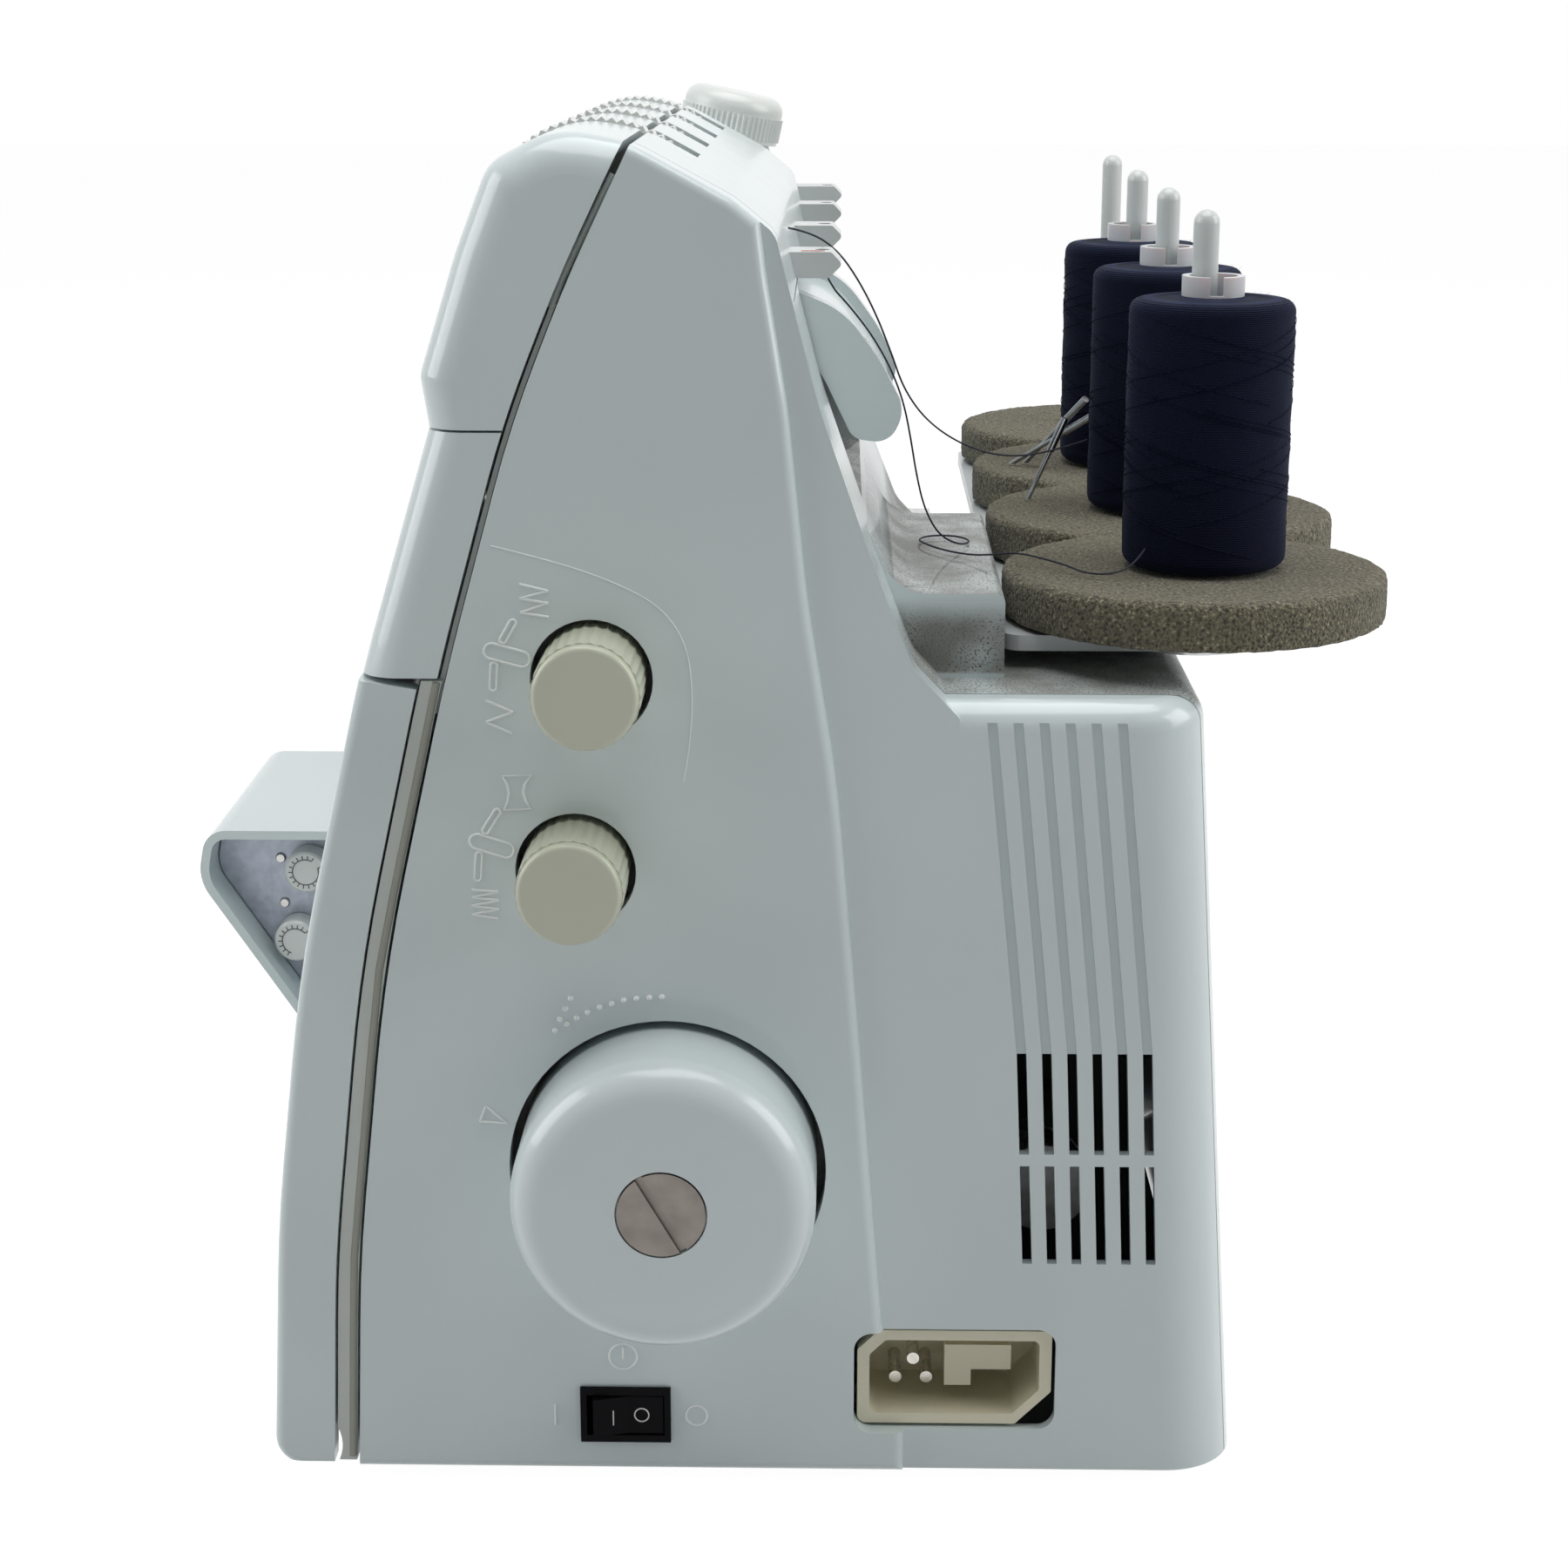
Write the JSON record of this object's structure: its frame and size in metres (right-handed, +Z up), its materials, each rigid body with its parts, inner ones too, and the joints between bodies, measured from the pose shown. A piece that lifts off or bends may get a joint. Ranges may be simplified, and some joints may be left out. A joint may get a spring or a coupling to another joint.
{
  "type": "serger overlock machine",
  "caption": "Home overlock sewing machine with handwheel, side knobs, thread tension dials, hinged looper cover, sewing head and a thread stand with spools.",
  "frame": {"origin": "on the table under the middle of the machine's outer size", "axes": "+Z up, +X towards the handwheel side, -Y towards the operator"},
  "size_m": [0.364, 0.3113, 0.2994],
  "materials": {
    "white_plastic": "satin gloss off-white",
    "grey_plastic": "satin light grey",
    "frame_plastic": "matte beige grey",
    "ivory_plastic": "gloss ivory",
    "cream_plastic": "satin cream",
    "black_plastic": "satin black",
    "black_rubber": "matte",
    "painted_steel": "satin grey",
    "cast_alloy": "as cast",
    "steel": "satin",
    "bright_steel": "bright",
    "bronze": "sintered",
    "foam": "porous taupe foam",
    "core_plastic": "translucent white",
    "navy_yarn": "fuzzy navy yarn"
  },
  "bodies": {
    "machine": {"base_pan": "painted_steel", "base_screws": "steel", "bed_cover": "white_plastic", "carrying_handle": "white_plastic", "dial_bracket": "painted_steel", "drive_belt": "black_rubber", "fixed_shafts": "steel", "foam_mat": "foam", "front_frame": "frame_plastic", "inlet_pins": "steel", "left_cover": "white_plastic", "main_frame": "cast_alloy", "middle_front_cover": "white_plastic", "motor": "painted_steel", "needle_plate": "bright_steel", "nose_shell": "white_plastic", "power_inlet": "cream_plastic", "rear_cover": "white_plastic", "right_cover": "white_plastic", "rubber_feet": "black_rubber", "shaft_bushes": "bronze", "spare_needles": "steel", "spool_pins": "steel", "switch_housing": "black_plastic", "thread_1": "navy_yarn", "thread_2": "navy_yarn", "thread_guides": "grey_plastic", "thread_stand_tray": "white_plastic", "top_cover": "white_plastic", "upper_front_cover": "white_plastic"},
    "handwheel": {"handwheel": "ivory_plastic", "handwheel_screw": "steel", "main_shaft": "steel"},
    "motor_rotor": {"motor_pulley": "cast_alloy"},
    "stitch_length_knob": {"stitch_length_knob": "ivory_plastic"},
    "differential_knob": {"differential_knob": "ivory_plastic"},
    "tension_dial_1": {"tension_dial_1": "white_plastic"},
    "tension_dial_2": {"tension_dial_2": "white_plastic"},
    "tension_dial_3": {"tension_dial_3": "white_plastic"},
    "tension_dial_4": {"tension_dial_4": "white_plastic"},
    "pressure_knob": {"pressure_knob": "ivory_plastic"},
    "presser": {"presser_bar": "steel", "presser_foot": "bright_steel"},
    "foot_lifter": {"foot_lifter": "steel"},
    "needle_carrier": {"needle_bar": "steel", "needles": "bright_steel"},
    "upper_looper": {"upper_looper": "steel"},
    "lower_looper": {"lower_looper": "steel"},
    "upper_knife": {"upper_knife": "steel"},
    "feed_dogs": {"feed_dogs": "steel"},
    "power_rocker": {"power_rocker": "black_plastic"},
    "looper_cover": {"looper_cover": "white_plastic"},
    "cutting_width_dial": {"cutting_width_dial": "white_plastic"},
    "fine_control_dial": {"fine_control_dial": "white_plastic"},
    "spool_1": {"spool_core_1": "core_plastic", "spool_winding_1": "navy_yarn"},
    "spool_2": {"spool_core_2": "core_plastic", "spool_winding_2": "navy_yarn"},
    "spool_3": {"spool_core_3": "core_plastic", "spool_winding_3": "navy_yarn"}
  },
  "joints": [
    {"name": "handwheel_spin", "type": "hinge", "parent": "machine", "child": "handwheel", "pos_m": [0.158, -0.0062, 0.0766], "axis": [1, 0, 0], "continuous": true},
    {"name": "motor_spin", "type": "hinge", "parent": "machine", "child": "motor_rotor", "pos_m": [0.122, 0.078, 0.06], "axis": [1, 0, 0], "continuous": true},
    {"name": "stitch_length_turn", "type": "hinge", "parent": "machine", "child": "stitch_length_knob", "pos_m": [0.158, -0.0209, 0.1865], "axis": [1, 0, 0], "range_deg": [-135, 135]},
    {"name": "differential_turn", "type": "hinge", "parent": "machine", "child": "differential_knob", "pos_m": [0.158, -0.025, 0.1447], "axis": [1, 0, 0], "range_deg": [-135, 135]},
    {"name": "tension_turn_1", "type": "hinge", "parent": "machine", "child": "tension_dial_1", "pos_m": [0.093, -0.023, 0.272], "axis": [1, 0, 0], "range_deg": [-150, 150]},
    {"name": "tension_turn_2", "type": "hinge", "parent": "machine", "child": "tension_dial_2", "pos_m": [0.048, -0.023, 0.272], "axis": [1, 0, 0], "range_deg": [-150, 150]},
    {"name": "tension_turn_3", "type": "hinge", "parent": "machine", "child": "tension_dial_3", "pos_m": [0.003, -0.023, 0.272], "axis": [1, 0, 0], "range_deg": [-150, 150]},
    {"name": "tension_turn_4", "type": "hinge", "parent": "machine", "child": "tension_dial_4", "pos_m": [-0.042, -0.023, 0.272], "axis": [1, 0, 0], "range_deg": [-150, 150]},
    {"name": "pressure_turn", "type": "hinge", "parent": "machine", "child": "pressure_knob", "pos_m": [-0.127, -0.0018, 0.29], "axis": [0, 0.2079, 0.9781], "range_deg": [-180, 180]},
    {"name": "foot_lift", "type": "hinge", "parent": "machine", "child": "foot_lifter", "pos_m": [-0.1195, -0.038, 0.192], "axis": [1, 0, 0], "range_deg": [0, 17]},
    {"name": "presser_slide", "type": "slide", "parent": "machine", "child": "presser", "axis": [0, 0.2079, 0.9781], "range_m": [0, 0.00605]},
    {"name": "needle_slide", "type": "slide", "parent": "machine", "child": "needle_carrier", "axis": [0, -0.2079, -0.9781], "range_m": [0, 0.024]},
    {"name": "upper_looper_swing", "type": "hinge", "parent": "machine", "child": "upper_looper", "pos_m": [-0.09975, -0.02, 0.04], "axis": [1, 0, 0], "range_deg": [-8, 8]},
    {"name": "lower_looper_swing", "type": "hinge", "parent": "machine", "child": "lower_looper", "pos_m": [-0.09325, -0.02, 0.04], "axis": [1, 0, 0], "range_deg": [-8, 8]},
    {"name": "knife_swing", "type": "hinge", "parent": "machine", "child": "upper_knife", "pos_m": [-0.085, 0.03, 0.052], "axis": [1, 0, 0], "range_deg": [0, 6]},
    {"name": "feed_slide", "type": "slide", "parent": "machine", "child": "feed_dogs", "axis": [0, 1, 0], "range_m": [0, 0.0035]},
    {"name": "power_rock", "type": "hinge", "parent": "machine", "child": "power_rocker", "pos_m": [0.155, -0.0162, 0.0177], "axis": [0, 0, 1], "range_deg": [-16, 0]},
    {"name": "looper_cover_open", "type": "hinge", "parent": "machine", "child": "looper_cover", "pos_m": [0.045, -0.09, 0.009], "axis": [1, 0, 0], "range_deg": [0, 55]},
    {"name": "cutting_width_turn", "type": "hinge", "parent": "machine", "child": "cutting_width_dial", "pos_m": [-0.071, -0.127, 0.074], "axis": [1, 0, 0], "range_deg": [-90, 90]},
    {"name": "fine_control_turn", "type": "hinge", "parent": "machine", "child": "fine_control_dial", "pos_m": [-0.071, -0.131, 0.0525], "axis": [1, 0, 0], "range_deg": [-135, 135]},
    {"name": "spool_spin_1", "type": "hinge", "parent": "machine", "child": "spool_1", "pos_m": [0.1009, 0.1124, 0.235], "axis": [0, 0, 1], "continuous": true},
    {"name": "spool_spin_2", "type": "hinge", "parent": "machine", "child": "spool_2", "pos_m": [0.0252, 0.1109, 0.235], "axis": [0, 0, 1], "continuous": true},
    {"name": "spool_spin_3", "type": "hinge", "parent": "machine", "child": "spool_3", "pos_m": [-0.0487, 0.1096, 0.235], "axis": [0, 0, 1], "continuous": true}
  ],
  "couplings": [
    {"joint": "motor_spin", "follows": "handwheel_spin", "ratio": 3.375},
    {"joint": "presser_slide", "follows": "foot_lift", "m_per_rad": 0.020222}
  ]
}
